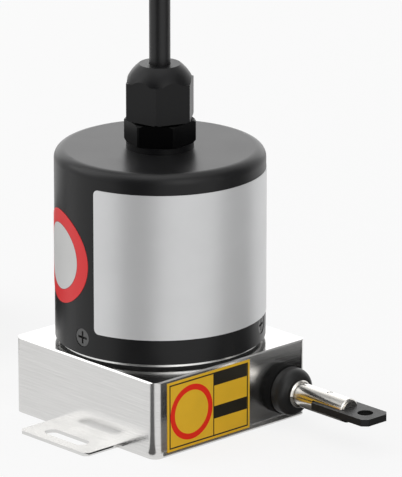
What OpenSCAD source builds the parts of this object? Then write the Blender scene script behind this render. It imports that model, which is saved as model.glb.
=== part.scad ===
// Draw wire encoder: a sprung wire drum in a square stainless housing turns a round encoder on top of it.
// Millimetres. The origin is on the encoder's axis at the mounting surface, +Z is up,
// and the measuring wire is drawn out along +X.

/* [Housing] */
// Width of the square housing
body_w = 59; // [57:0.5:64]
// Radius of the housing's upright corners
body_r = 2.5; // [1:0.25:4]
// Height of the housing's top face above the mounting surface
body_h = 22.5; // [22:0.5:28]
// Thickness of the housing's side walls
side_t = 2.2; // [1.6:0.1:2.8]
// Thickness of the housing's roof
roof_t = 3; // [2.6:0.1:3.4]
// Bevel along the housing's top edge
edge_bevel = 0.4; // [0.2:0.05:0.6]
// Distance of the base screws from the housing's faces
post_inset = 5.2; // [4.4:0.1:5.4]

/* [Base plate] */
// Thickness of the base plate and its two tabs
plate_t = 1; // [0.8:0.1:1.6]
// Width of the tabs
tab_w = 28.2; // [26:0.2:36]
// How far the tabs reach past the housing
tab_reach = 12; // [11:0.25:16]
// Corner cut of the tabs
tab_cut = 1.2; // [0.5:0.1:2.5]
// Distance of the slots' centre lines from the housing
slot_out = 6.5; // [5:0.1:8]
// Overall length of the slots
slot_l = 16.5; // [10:0.5:20]
// Width of the slots
slot_w = 4.5; // [4.3:0.1:5.5]

/* [Encoder] */
// Outer diameter of the cover
cover_d = 60; // [60:0.5:66]
// Height of the cover
cover_h = 55.1; // [55:0.5:70]
// Thickness of the cover's side wall
cover_t = 1.5; // [1.2:0.1:2]
// Thickness of the cover's top
cover_top_t = 2; // [1.6:0.1:2.6]
// Rounding of the cover's top edge
cover_r = 3; // [2.6:0.1:4]
// Diameter of the flange's bright edge
flange_d = 58; // [57.5:0.25:59]
// Thickness of the flange's bright edge
lip_t = 0.9; // [0.6:0.1:1.6]
// Thickness of the gasket under the flange
gasket_t = 0.8; // [0.5:0.1:1.2]
// How far the gasket's edge lies inside the flange's edge
gasket_in = 0.4; // [0.2:0.1:1]
// Diameter of the flange's spigot
spigot_d = 36; // [34:0.5:37]
// Height of the flange's floor above its lip
floor_t = 3.3; // [2.8:0.1:4]
// Height of the flange's rim above its lip
rim_h = 9.3; // [8.8:0.1:11]
// Thickness of the flange's rim
rim_t = 5.4; // [5:0.1:6]
// Height of the cover screws above the cover's lower edge
screw_up = 5; // [4:0.25:6]
// Head diameter of the cover screws
screw_head_d = 5.2; // [4.8:0.1:5.6]
// Thread diameter of the small screws
screw_d = 3; // [2.5:0.1:3.2]

/* [Cable gland] */
// Width across flats of the gland
gland_af = 18; // [17:0.25:19]
// Diameter of the washer under the gland
washer_d = 19.2; // [18:0.2:21]
// Thickness of the washer under the gland
washer_t = 1.7; // [1.2:0.1:2.5]
// Height of the gland body's hexagon
hex_h = 6.4; // [5:0.2:8]
// Gap between the gland body and its nut
nut_gap = 0.4; // [0.2:0.1:0.8]
// Height of the nut's hexagon
nut_hex_h = 10.9; // [9:0.1:14]
// Height of the nut's dome
dome_h = 4.8; // [4:0.1:6]
// Diameter of the dome's foot
dome_foot_d = 19; // [18.4:0.1:19.6]
// Curve radius of the nut's dome
dome_curve = 11; // [8:0.5:14]
// Diameter of the flat on the dome
dome_flat_d = 11.8; // [11:0.2:12.6]
// Thread diameter of the gland
gland_thread_d = 12; // [11:0.25:12.5]
// Diameter of the cable
cable_d = 6; // [5:0.1:6.4]

/* [Wire drum] */
// Distance of the wire from the encoder's axis
wire_y = 19.9; // [19.5:0.1:20.4]
// Height of the wire above the mounting surface
wire_z = 9.9; // [9.8:0.1:10.4]
// Diameter of the measuring wire
wire_d = 1; // [0.8:0.05:1]
// Spacing of the turns on the drum
turn_pitch = 1.1; // [1.05:0.01:1.15]
// Height of the drum's flanges above the groove floor
drum_rim = 3; // [2.2:0.1:3.4]
// Thickness of the drum's flanges
drum_flange_t = 1.05; // [0.9:0.05:1.1]
// Wall of the drum around its spring
drum_wall = 2.5; // [2.2:0.1:3]
// Width of the mainspring's strip
spring_w = 5.6; // [5:0.1:5.8]
// Thickness of the mainspring's strip
spring_t = 0.35; // [0.25:0.05:0.4]
// Diameter of the post that holds the mainspring
arbor_d = 9.4; // [8.6:0.2:10]
// Diameter of the encoder's shaft
shaft_d = 8; // [7:0.5:8]

/* [Wire end] */
// Diameter of the wire boot's rear disc
boot_d = 14.3; // [13.6:0.1:15]
// Thickness of the wire boot's rear disc
boot_disc_t = 2.1; // [1.6:0.1:2.6]
// Length of the whole wire boot
boot_l = 6.7; // [6.2:0.1:7.6]
// Rounding of the wire boot's nose
boot_round = 2.6; // [2.2:0.1:2.8]
// Diameter of the end tube
tube_d = 7; // [6.6:0.1:7.6]
// Bore of the end tube
tube_bore = 5.6; // [5.2:0.1:6]
// Length of the end tube, with its collar
tube_l = 20.4; // [19:0.2:24]
// Diameter of the end tube's collar
collar_d = 8.1; // [8:0.1:9]
// Thickness of the end tube's collar
collar_t = 1.1; // [0.8:0.1:1.4]
// Thickness of the end tube's rear wall
tube_end_t = 2.2; // [1.6:0.1:3]
// Length of the slot in the end tube
mouth_l = 11.3; // [9:0.1:12]
// Gap between the slot's inner end and the eye plate
mouth_gap = 1.1; // [0.2:0.1:1.5]
// Width of the eye plate
eye_w = 10; // [9:0.1:11]
// Thickness of the eye plate
eye_t = 2; // [1.6:0.1:2.2]
// How far the eye plate reaches past the end tube
eye_out = 11.2; // [10.6:0.1:14]
// Hole in the eye plate
eye_hole_d = 4.5; // [4.3:0.1:5.5]
// Distance of that hole from the plate's end
eye_edge = 4.9; // [4.5:0.1:5.6]
// Corner cut of the eye plate
eye_cut = 1.5; // [0.8:0.1:2]

/* [Labels] */
// Thickness of the labels
label_t = 0.15; // [0.1:0.05:0.3]
// Height of the silver label
type_label_h = 42.2; // [36:0.2:43]
// Distance of the silver label from the cover's lower edge
type_label_up = 7.2; // [7.2:0.1:8.4]
// Angle that the silver label covers
type_label_angle = 161.6; // [140:0.2:164]
// Corner radius of the silver label
type_label_r = 1.5; // [0.5:0.1:3]
// Diameter of the round sticker
sticker_d = 27; // [22:0.25:29]
// Height of the round sticker's centre above the cover's lower edge
sticker_up = 26.25; // [24:0.25:28]
// Direction of the round sticker, from +X
sticker_angle = -111.8; // [-116:0.1:-111.8]
// Length of the yellow label
face_label_l = 31.6; // [28:0.2:31.6]
// Height of the yellow label
face_label_h = 20.3; // [17:0.1:20.3]
// Distance of the yellow label from the housing's near corner
face_label_in = 4.8; // [4:0.1:4.8]

/* [Hidden] */
$fn = 64;

fit = 0.05;               // running clearance of a shaft, all round
slip = 0.1;               // clearance of a part that is slid or screwed into place
half = body_w / 2;
screw_r = screw_d / 2;
head_r = screw_head_d / 2;
head_h = 1.2;             // height of a countersunk head
head_in = 0.2;            // how far a countersunk head lies below the face
head_rim = 0.2;           // straight rim of that head
cross_w = 0.7;            // width of its cross recess
cheese_h = 1.9;           // height of a cheese head
thread_in = 7;            // how far a base screw goes into the housing
cover_thread_in = 3.4;    // how far a cover screw goes into the flange
flange_thread_in = 3;     // how far a flange screw goes into the flange

// Levels, from the mounting surface upwards
roof_z = body_h - roof_t;
lip_z = body_h + gasket_t;
cover_z = lip_z + lip_t;
cover_top = cover_z + cover_h;
floor_z = cover_z + floor_t;
rim_z = cover_z + rim_h;
washer_z = cover_top + washer_t;
nut_z = washer_z + hex_h + nut_gap;
dome_z = nut_z + nut_hex_h;
gland_top = dome_z + dome_h;

// Encoder
flange_screw_out = spigot_d / 2 + head_r + 1;
cover_in = cover_d / 2 - cover_t;
rim_r = cover_in - slip;
bearing_r = 11;
bearing_w = 7;
bearing_seat = 2;         // wall of the flange below the lower bearing
bearing_z = roof_z + bearing_seat;
bearing_gap = 6;          // between the two bearings
bearing_top = bearing_z + 2 * bearing_w + bearing_gap;
clip_t = 1;
hub_top = bearing_top + clip_t;
hub_wall = 3.5;           // wall of the flange around the bearings
hub_r = bearing_r + hub_wall;
disc_gap = 1;             // clear height over, under and beside what turns
disc_hub_h = 3;
disc_hub_wall = 4.5;
disc_hub_r = shaft_d / 2 + disc_hub_wall;
disc_z = hub_top + disc_gap + disc_hub_h;
disc_t = 1;
disc_r = 18.5;
sensor_w = 8;
sensor_h = 4;
lamp_w = 6;
lamp_t = 2;
board_t = 1.6;
board_gap = 8.4;
board_z = disc_z + disc_t + disc_gap + sensor_h;
board2_z = board_z + board_t + board_gap;
chip_w = 10;
chip_t = 1.4;
can_d = 4;
can_h = 5.4;
can_out = 17;
spacer_r = 2.3;
stud_r = 1.2;
thread_l = 3.5;           // depth of the spacers' threads
board_r = rim_r - 0.4;
terminal_w = 18;
terminal_d = 8;
terminal_h = 6.4;
tail_z = board2_z + board_t + terminal_h;
shaft_r = shaft_d / 2;

// Gland
gland_thread_l = 6;       // how far its thread reaches inside the cover
gland_neck_l = 6;         // how far its neck reaches into the nut
gland_neck_r = gland_af / 2 - 2;
gland_low = cover_top - cover_top_t - gland_thread_l;
seal_t = 2;               // wall of the rubber seal
locknut_h = 4;

// Drum
wire_r = wire_d / 2;
turns = 9;
groove_r = wire_r + fit;
core_r = wire_y - wire_r * 0.4;
drum_r = wire_y - wire_r + drum_rim;
drum_half_h = turns * turn_pitch / 2 + drum_flange_t;
drum_z = wire_z - drum_half_h;
drum_top = wire_z + drum_half_h;
cup_r = wire_y - wire_r - drum_wall;
spring_z = drum_z + 0.3;
spring_coils = 6;
spring_steps = 16;        // points in each coil
arbor_shoulder = 3;       // step below the mainspring, all round
spring_in = arbor_d / 2 + 0.15;
spring_out = cup_r - spring_t - 0.4;
web_z = spring_z + spring_w + 0.8;
drum_hub_h = 2.6;
drum_hub_r = 8;
hub_z = drum_top + drum_hub_h;
drum_screw_r = 1.25;
drum_hole_r = 2.4;        // holes that lighten the drum's web
drum_hole_out = 12.6;

// Wire end
guide_r = 4;
guide_head_r = 5;
guide_head_t = 1.5;
tube_x = half + boot_l;
tube_end = tube_x + tube_l;
mouth_x = tube_end - mouth_l;
eye_x = mouth_x + mouth_gap;
eye_end = tube_end + eye_out;
eye_hole_x = eye_end - eye_edge;
ferrule_x = tube_x + tube_end_t;
pin_in = 3.5;             // from the slot's inner end to the cross pin
pin_x = mouth_x + pin_in;
pin_r = 0.9;
grip_l = 4;               // length of wire held in the ferrule

// The cable's route: up out of the gland, over in an arch and down to a coil beside the encoder
cable_r = cable_d / 2;
cable_route = [
    [0, 0, gland_top], [0, 0, 116], [0, 0, 128],
    [-2.3, -1.4, 141.6], [-8.8, -5.6, 153.1], [-18.5, -11.7, 160.8], [-30, -19, 163.5],
    [-41.5, -26.3, 160.8], [-51.2, -32.4, 153.1], [-57.7, -36.6, 141.6],
    [-60, -38, 128], [-60, -38, 112], [-60, -38, 96], [-60, -38, 80], [-60, -38, 64],
    [-60, -38, 48], [-60, -38, 36], [-60, -38, 27],
    [-61.8, -38, 17.8], [-67, -38, 10], [-74.8, -38, 4.8], [-84, -38, 3.2],
    [-97, -38, 3.5], [-112, -38, 3.8]
];
cable_sides = 10;
cable_side_way = [-0.535, 0.845, 0];
coil_at = [-112, -8];
coil_r = 30;
coil_turns = 3.7;
tie_t = 0.8;
tie_w = 3;
coil_h = (coil_turns + 1) * cable_d;
lead_r = 0.6;

function unit(v) = v / norm(v);
function route_way(i) = unit(
    cable_route[min(i + 1, len(cable_route) - 1)] - cable_route[max(i - 1, 0)]
);
function route_side(i) = unit(cross(route_way(i), cable_side_way));
function route_ring(i) = [
    for (k = [0 : cable_sides - 1])
        let (a = 360 * k / cable_sides, s = route_side(i), u = cross(s, route_way(i)))
            cable_route[i] + cable_r * (cos(a) * s + sin(a) * u)
];
function spiral_point(t, r) = [r * cos(t), r * sin(t)];

// A square with round corners, as exact arcs
module round_square(w, r) {
    square([w, w - 2 * r], center = true);
    square([w - 2 * r, w], center = true);
    for (x = [-1, 1], y = [-1, 1])
        translate([x * (w / 2 - r), y * (w / 2 - r)]) circle(r);
}

// A square block with round upright corners and a bevel along its top edge
module bevelled_block(w, r, h, bevel) {
    outline = [
        [-w / 2, 0], [w / 2, 0], [w / 2, h - bevel],
        [w / 2 - bevel, h], [-w / 2 + bevel, h], [-w / 2, h - bevel]
    ];
    intersection() {
        linear_extrude(h) round_square(w, r);
        rotate([90, 0, 0]) linear_extrude(w + 2, center = true) polygon(outline);
        rotate([0, 0, 90]) rotate([90, 0, 0]) linear_extrude(w + 2, center = true) polygon(outline);
    }
}

// Places its children at the four corner posts
module at_posts() {
    for (x = [-1, 1], y = [-1, 1])
        translate([x * (half - post_inset), y * (half - post_inset), 0]) children();
}

// Places its children at the three places round the encoder, the first of them towards -Y
module at_thirds(r, z) {
    for (k = [0 : 2]) rotate([0, 0, 120 * k - 90]) translate([r, 0, z]) children();
}

// Places its children at the three spacers that carry the boards, between the cover screws
module at_posts_round(z) {
    rotate([0, 0, 60]) at_thirds(rim_r - rim_t / 2, z) children();
}

// A solid round the wire's line: its profile is turned about the wire, with x along the wire
module about_wire() {
    translate([0, wire_y, wire_z]) rotate([0, 90, 0]) rotate([0, 0, 90]) children();
}

// A hexagonal bar with its corners towards +X and -X
module hex_bar(af, h) {
    cylinder(d = af / cos(30), h = h, $fn = 6);
}

// ---- Housing and base plate ----

module slot_hole() {
    half_run = (slot_l - slot_w) / 2;
    translate([0, 0, -1]) linear_extrude(plate_t + 2) {
        square([2 * half_run, slot_w], center = true);
        for (x = [-1, 1]) translate([x * half_run, 0]) circle(d = slot_w);
    }
}

module base_plate() {
    tab_y = half + tab_reach;
    tab = [
        [-tab_w / 2, -tab_y + tab_cut], [-tab_w / 2 + tab_cut, -tab_y],
        [tab_w / 2 - tab_cut, -tab_y], [tab_w / 2, -tab_y + tab_cut],
        [tab_w / 2, tab_y - tab_cut], [tab_w / 2 - tab_cut, tab_y],
        [-tab_w / 2 + tab_cut, tab_y], [-tab_w / 2, tab_y - tab_cut]
    ];
    color("silver") difference() {
        linear_extrude(plate_t) {
            round_square(body_w, body_r);
            polygon(tab);
        }
        for (y = [-1, 1]) translate([0, y * (half + slot_out), 0]) slot_hole();
        at_posts() translate([0, 0, -0.01])
            cylinder(r1 = head_r + slip, r2 = screw_r + slip, h = plate_t + 0.02);
    }
}

// The housing is a shell, open below, with a solid block for a screw in each corner
module housing() {
    inner_w = body_w - 2 * side_t;
    block_w = 2 * (post_inset - side_t);
    color("lightgray") difference() {
        translate([0, 0, plate_t]) bevelled_block(body_w, body_r, body_h - plate_t, edge_bevel);
        translate([0, 0, plate_t - 1]) linear_extrude(roof_z - plate_t + 1) difference() {
            square(inner_w, center = true);
            at_posts() square(block_w + 0.4, center = true);
        }
        at_posts() translate([0, 0, plate_t - 1]) cylinder(r = screw_r, h = thread_in + 2);
        about_wire() cylinder(r = wire_r + 1, h = half);
        translate([0, 0, roof_z - 1]) cylinder(d = spigot_d + 2 * fit, h = roof_t + 2);
        at_thirds(flange_screw_out, roof_z - 1) cylinder(r = screw_r + slip, h = roof_t + 2);
        about_wire() translate([0, 0, half - side_t - 1]) cylinder(r = guide_r, h = side_t + 2);
    }
}

module base_screws() {
    color("silver") at_posts() difference() {
        union() {
            translate([0, 0, fit]) cylinder(r1 = head_r, r2 = screw_r, h = plate_t - fit);
            translate([0, 0, plate_t]) cylinder(r = screw_r, h = thread_in);
        }
        cylinder(d = 2, h = 0.7, $fn = 6);
    }
}

// ---- Encoder ----

module gasket() {
    color("#181818") difference() {
        translate([0, 0, body_h]) cylinder(r = flange_d / 2 - gasket_in, h = gasket_t);
        translate([0, 0, body_h - 1]) cylinder(d = spigot_d + 2 * fit, h = gasket_t + 2);
        at_thirds(flange_screw_out, body_h - 1) cylinder(r = screw_r + slip, h = gasket_t + 2);
    }
}

// The flange: a bright lip that the cover stands on, a rim that its screws go into,
// a spigot that centres it in the roof and a hub that holds the bearings
module encoder_flange() {
    outline = [
        [shaft_r + 2, roof_z], [spigot_d / 2, roof_z], [spigot_d / 2, lip_z], [flange_d / 2, lip_z],
        [flange_d / 2, cover_z], [rim_r, cover_z], [rim_r, rim_z], [rim_r - rim_t, rim_z],
        [rim_r - rim_t, floor_z], [hub_r, floor_z], [hub_r, hub_top], [bearing_r, hub_top],
        [bearing_r, bearing_z], [shaft_r + 2, bearing_z]
    ];
    color("silver") difference() {
        rotate_extrude() polygon(outline);
        at_thirds(flange_screw_out, lip_z - 1) cylinder(r = screw_r, h = flange_thread_in + 1.2);
        at_thirds(rim_r, cover_z + screw_up) rotate([0, -90, 0])
            translate([0, 0, -1]) cylinder(r = screw_r, h = cover_thread_in + 1.6);
        at_posts_round(rim_z - thread_l - 0.5) cylinder(r = stud_r, h = thread_l + 1);
    }
}

module flange_screws() {
    color("silver") at_thirds(flange_screw_out, roof_z) difference() {
        union() {
            translate([0, 0, -cheese_h]) cylinder(r = head_r, h = cheese_h);
            cylinder(r = screw_r, h = roof_t + gasket_t + flange_thread_in);
        }
        translate([0, 0, -cheese_h - 1]) cylinder(d = head_r, h = 2, $fn = 6);
    }
}

module encoder_cover() {
    outer = cover_d / 2;
    inner_round = max(cover_r - cover_t, 0.5);
    color("#2b2b2b") difference() {
        rotate_extrude() difference() {
            union() {
                translate([0, cover_z]) square([outer, cover_h - cover_r]);
                translate([0, cover_z]) square([outer - cover_r, cover_h]);
                translate([outer - cover_r, cover_top - cover_r]) circle(cover_r);
            }
            translate([-outer, cover_z - 1]) square([outer, cover_h + 2]);
            translate([0, cover_z - 1]) square([cover_in, cover_h - cover_top_t - inner_round + 1]);
            square([cover_in - inner_round, cover_top - cover_top_t]);
            translate([cover_in - inner_round, cover_top - cover_top_t - inner_round])
                circle(inner_round);
        }
        translate([0, 0, cover_top - cover_top_t - 1])
            cylinder(d = gland_thread_d + 2 * slip, h = cover_top_t + 2);
        at_thirds(outer, cover_z + screw_up) rotate([0, -90, 0]) {
            translate([0, 0, -1]) cylinder(r = screw_r + slip, h = cover_t + 2);
            translate([0, 0, -1]) cylinder(r = head_r + slip, h = head_in + slip + 1);
            translate([0, 0, head_in + slip])
                cylinder(r1 = head_r + slip, r2 = screw_r + slip, h = head_h - head_in - slip);
        }
    }
}

// Countersunk screws with a cross recess, flush with the cover
module cover_screws() {
    color("#3a3a3a") at_thirds(cover_d / 2, cover_z + screw_up) rotate([0, -90, 0]) difference() {
        union() {
            translate([0, 0, head_in]) cylinder(r = head_r, h = head_rim);
            translate([0, 0, head_in + head_rim])
                cylinder(r1 = head_r, r2 = screw_r, h = head_h - head_in - head_rim);
            translate([0, 0, head_h]) cylinder(r = screw_r, h = cover_thread_in);
        }
        for (turn = [0, 90]) rotate([0, 0, turn])
            cube([screw_head_d * 0.7, cross_w, 2 * head_h - head_in], center = true);
    }
}

// A bearing with its shields, as the ring that fills the flange's bore
module bearing() {
    outline = [
        [shaft_r + fit, 0], [shaft_r + 1.8, 0], [shaft_r + 1.8, 0.3], [bearing_r - 1.8, 0.3],
        [bearing_r - 1.8, 0], [bearing_r, 0], [bearing_r, bearing_w], [bearing_r - 1.8, bearing_w],
        [bearing_r - 1.8, bearing_w - 0.3], [shaft_r + 1.8, bearing_w - 0.3],
        [shaft_r + 1.8, bearing_w], [shaft_r + fit, bearing_w]
    ];
    rotate_extrude() polygon(outline);
}

module shaft_bearings() {
    color("gainsboro") for (k = [0, 1])
        translate([0, 0, bearing_z + k * (bearing_w + bearing_gap)]) bearing();
}

module bearing_spacer() {
    color("silver") translate([0, 0, bearing_z + bearing_w]) difference() {
        cylinder(r = bearing_r, h = bearing_gap);
        translate([0, 0, -1]) cylinder(r = bearing_r - 1.5, h = bearing_gap + 2);
    }
}

module bearing_clip() {
    color("dimgray") translate([0, 0, bearing_top]) difference() {
        cylinder(r = bearing_r, h = clip_t);
        translate([0, 0, -1]) cylinder(r = bearing_r - 1.6, h = clip_t + 2);
        translate([0, -1.5, -1]) cube([bearing_r + 1, 3, clip_t + 2]);
    }
}

// ---- Encoder electronics ----

// A hexagonal spacer with a stud below it and a threaded hole in its top
module spacer(h, stud_l) {
    difference() {
        union() {
            cylinder(r = spacer_r, h = h, $fn = 6);
            translate([0, 0, -stud_l]) cylinder(r = stud_r, h = stud_l + 1);
        }
        translate([0, 0, h - thread_l]) cylinder(r = stud_r, h = thread_l + 1);
    }
}

module lower_posts() {
    color("goldenrod") at_posts_round(rim_z) spacer(board_z - rim_z, thread_l);
}

module upper_posts() {
    color("goldenrod") at_posts_round(board_z + board_t)
        spacer(board2_z - board_z - board_t, board_t + thread_l - 0.5);
}

module board(z) {
    difference() {
        translate([0, 0, z]) cylinder(r = board_r, h = board_t);
        at_posts_round(z - 1) cylinder(r = stud_r + slip, h = board_t + 2);
    }
}

module main_board() {
    color("darkgreen") board(board_z);
}

module interface_board() {
    color("darkgreen") board(board2_z);
}

module board_parts() {
    color("#222222") translate([0, 0, board_z + board_t]) {
        translate([-1.4 * chip_w, -chip_w / 3, 0]) cube([chip_w, chip_w, chip_t]);
        translate([chip_w / 2, -chip_w, 0]) cube([chip_w / 2, chip_w / 2, chip_t]);
        translate([chip_w / 2, chip_w / 2, 0]) cube([chip_w * 0.7, chip_w / 2, chip_t]);
        for (k = [-1 : 1]) translate([1.7 * can_d * k, can_out, 0]) cylinder(d = can_d, h = can_h);
    }
}

// The reading head hangs under the main board, over the rim of the disc
module sensor_head() {
    color("#1c1c1c") translate([disc_r - sensor_w - 0.5, -sensor_w / 2, board_z - sensor_h])
        cube([sensor_w, sensor_w, sensor_h]);
}

// The lamp stands on the flange and reaches in under the disc
module lamp_holder() {
    foot_x = hub_r + 0.6;
    arm_x = disc_hub_r + 1.5;
    arm_z = disc_z - disc_gap - lamp_t;
    out_x = rim_r - rim_t - 0.5;
    color("#303030") translate([0, -lamp_w / 2, 0]) {
        translate([foot_x, 0, floor_z]) cube([out_x - foot_x, lamp_w, arm_z - floor_z]);
        translate([arm_x, 0, arm_z]) cube([out_x - arm_x, lamp_w, lamp_t]);
    }
}

module terminal_block() {
    poles = 4;
    wall = 1;
    pole_w = terminal_w / poles;
    color("#2e6b3a") translate([-terminal_w / 2, -terminal_d / 2, board2_z + board_t]) difference() {
        cube([terminal_w, terminal_d, terminal_h]);
        for (k = [0 : poles - 1]) translate([pole_w * (k + 0.35), wall, wall])
            cube([pole_w * 0.3, 1.5, terminal_h]);
    }
}

module board_screws() {
    head_t = 1.6;
    color("silver") at_posts_round(board2_z + board_t) difference() {
        union() {
            cylinder(r = spacer_r, h = head_t);
            translate([0, 0, 0.5 - board_t - thread_l]) cylinder(r = stud_r, h = board_t + thread_l);
        }
        translate([0, 0, head_t]) cube([2 * spacer_r + 1, 0.6, 1.2], center = true);
    }
}

// ---- Gland and cable ----

module gland_washer() {
    color("#151515") translate([0, 0, cover_top]) difference() {
        cylinder(d = washer_d, h = washer_t);
        translate([0, 0, -1]) cylinder(d = gland_thread_d + 2 * slip, h = washer_t + 2);
    }
}

module gland_body() {
    edge = 0.5;
    corner_r = gland_af / 2 / cos(30) - 0.2;
    outline = [
        [0, washer_z], [corner_r - edge, washer_z], [corner_r, washer_z + edge],
        [corner_r, washer_z + hex_h - edge], [corner_r - edge, washer_z + hex_h],
        [0, washer_z + hex_h]
    ];
    color("#1d1d1d") difference() {
        union() {
            intersection() {
                translate([0, 0, washer_z]) rotate([0, 0, -20]) hex_bar(gland_af, hex_h);
                rotate_extrude() polygon(outline);
            }
            translate([0, 0, gland_low]) cylinder(d = gland_thread_d, h = washer_z - gland_low + 1);
            translate([0, 0, washer_z + hex_h - 1])
                cylinder(r = gland_neck_r, h = nut_gap + gland_neck_l);
        }
        translate([0, 0, gland_low - 1]) cylinder(r = cable_r + slip, h = gland_top - gland_low);
        translate([0, 0, nut_z + 1]) cylinder(r = cable_r + seal_t, h = gland_neck_l);
    }
}

// The dome nut: a hexagon whose corners end in small ledges under a round dome
module gland_nut() {
    flat_r = dome_flat_d / 2;
    foot_r = dome_foot_d / 2;
    corner_r = gland_af / 2 / cos(30);
    foot_bevel = 0.4;
    chord = [flat_r - foot_r, dome_h];
    middle = [(flat_r + foot_r) / 2, dome_h / 2];
    reach = sqrt(dome_curve * dome_curve - norm(chord) * norm(chord) / 4);
    centre = middle + reach * unit([-chord[1], chord[0]]);
    start = atan2(-centre[1], foot_r - centre[0]);
    finish = atan2(dome_h - centre[1], flat_r - centre[0]);
    steps = 10;
    dome = [
        for (k = [0 : steps])
            let (a = start + (finish - start) * k / steps)
                centre + dome_curve * [cos(a), sin(a)] + [0, dome_z]
    ];
    outline = concat(
        [[0, nut_z], [corner_r - foot_bevel, nut_z], [corner_r + 1, nut_z + foot_bevel + 1]],
        [[corner_r + 1, dome_z]], dome, [[0, gland_top]]
    );
    color("#1d1d1d") difference() {
        intersection() {
            translate([0, 0, nut_z]) rotate([0, 0, 11]) hex_bar(gland_af, gland_top - nut_z);
            rotate_extrude() polygon(outline);
        }
        translate([0, 0, nut_z - 1]) cylinder(r = gland_neck_r + fit, h = gland_neck_l + 1.6);
        translate([0, 0, nut_z]) cylinder(r = cable_r + seal_t + slip, h = gland_top - nut_z - seal_t);
        translate([0, 0, nut_z]) cylinder(r = cable_r + slip, h = gland_top);
    }
}

module gland_locknut() {
    color("#262626") translate([0, 0, cover_top - cover_top_t - locknut_h]) difference() {
        hex_bar(gland_af - 1, locknut_h);
        translate([0, 0, -1]) cylinder(d = gland_thread_d, h = locknut_h + 2);
    }
}

module gland_seal() {
    color("#101010") translate([0, 0, nut_z + 1]) difference() {
        cylinder(r = cable_r + seal_t, h = gland_top - nut_z - 1 - seal_t);
        translate([0, 0, -1]) cylinder(r = cable_r, h = gland_top);
    }
}

module cable_tail() {
    color("#333333") translate([0, 0, tail_z]) cylinder(r = cable_r, h = gland_top - tail_z);
}

module cable() {
    n = len(cable_route);
    rings = [for (i = [0 : n - 1]) each route_ring(i)];
    sides = [
        for (i = [0 : n - 2], k = [0 : cable_sides - 1])
            let (next = (k + 1) % cable_sides, low = i * cable_sides, high = low + cable_sides)
                each [
                    [low + k, high + next, low + next],
                    [low + k, high + k, high + next]
                ]
    ];
    first = [for (k = [0 : cable_sides - 1]) k];
    last = [for (k = [cable_sides - 1 : -1 : 0]) (n - 1) * cable_sides + k];
    color("#333333") polyhedron(rings, concat(sides, [first], [last]), convexity = 6);
}

module cable_coil() {
    color("#333333") translate([coil_at[0], coil_at[1], tie_t]) rotate_extrude()
        translate([coil_r - cable_r, 0]) square([cable_d, coil_h]);
}

module cable_ties() {
    slack = 0.3;
    outer = [cable_d + 2 * (tie_t + slack), tie_w, coil_h + 2 * tie_t];
    inner = [cable_d + 2 * slack, tie_w + 1, coil_h];
    color("#1a1a1a") translate([coil_at[0], coil_at[1], 0]) for (turn = [70, 200])
        rotate([0, 0, turn]) translate([coil_r, 0, outer[2] / 2]) difference() {
            cube(outer, center = true);
            cube(inner, center = true);
        }
}

// Bare leads at the cable's far end, lying on the coil
module lead_wires() {
    lead_z = tie_t + coil_h + lead_r;
    color("firebrick") translate([coil_at[0], coil_at[1], lead_z]) for (k = [-1.5 : 1 : 1.5])
        rotate([0, 0, -35 - 6 * k]) rotate_extrude(angle = 50 + 6 * k)
            translate([coil_r + 1.3 * k, 0]) circle(lead_r, $fn = 16);
}

// ---- Drum, spring and encoder shaft ----

module spring_arbor() {
    color("silver") translate([0, 0, plate_t]) {
        cylinder(r = arbor_d / 2 + arbor_shoulder, h = spring_z - plate_t);
        cylinder(d = arbor_d, h = spring_z + spring_w - plate_t);
    }
}

module mainspring() {
    steps = spring_steps * spring_coils;
    turn = 360 / spring_steps;
    rise = (spring_out - spring_in) / steps;
    inner = [for (k = [0 : steps]) spiral_point(turn * k, spring_in + rise * k)];
    outer = [for (k = [steps : -1 : 0]) spiral_point(turn * k, spring_in + rise * k + spring_t)];
    color("steelblue") translate([0, 0, spring_z]) linear_extrude(spring_w)
        polygon(concat(inner, outer));
}

module wire_drum() {
    outline = [
        [shaft_r, web_z], [cup_r, web_z], [cup_r, drum_z], [drum_r, drum_z],
        [drum_r, drum_z + drum_flange_t], [core_r, drum_z + drum_flange_t],
        [core_r, drum_top - drum_flange_t], [drum_r, drum_top - drum_flange_t],
        [drum_r, drum_top], [drum_hub_r, drum_top], [drum_hub_r, hub_z], [shaft_r, hub_z]
    ];
    color("#c9ccd0") difference() {
        rotate_extrude() difference() {
            polygon(outline);
            for (k = [0 : turns - 1]) translate([wire_y, turn_level(k)]) circle(groove_r);
        }
        for (turn = [0, 90]) rotate([0, 0, turn]) translate([0, 0, hub_z - 1.7])
            rotate([0, 90, 0]) cylinder(r = drum_screw_r, h = drum_hub_r + 1);
        for (turn = [0 : 60 : 300]) rotate([0, 0, turn])
            translate([drum_hole_out, 0, web_z - 1]) cylinder(r = drum_hole_r, h = drum_top - web_z + 2);
    }
}

function turn_level(k) = wire_z + (k - (turns - 1) / 2) * turn_pitch;

module drum_screws() {
    color("#333333") for (turn = [0, 90]) rotate([0, 0, turn])
        translate([shaft_r, 0, hub_z - 1.7]) rotate([0, 90, 0])
            cylinder(r = drum_screw_r, h = drum_hub_r - shaft_r);
}

// The turns of wire on the drum: the middle one runs off the drum towards the wire's exit
module wire_winding() {
    middle = (turns - 1) / 2;
    color("#b9bec4") for (k = [0 : turns - 1]) translate([0, 0, turn_level(k)])
        rotate([0, 0, 90]) rotate_extrude(angle = k == middle ? 335 : 360)
            translate([wire_y, 0]) circle(wire_r);
}

module encoder_shaft() {
    color("gainsboro") translate([0, 0, web_z]) cylinder(r = shaft_r, h = disc_z + disc_t - web_z + 1);
}

module disc_hub() {
    color("silver") translate([0, 0, disc_z - disc_hub_h]) difference() {
        cylinder(r = disc_hub_r, h = disc_hub_h);
        translate([0, 0, -1]) cylinder(r = shaft_r, h = disc_hub_h + 2);
    }
}

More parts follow.
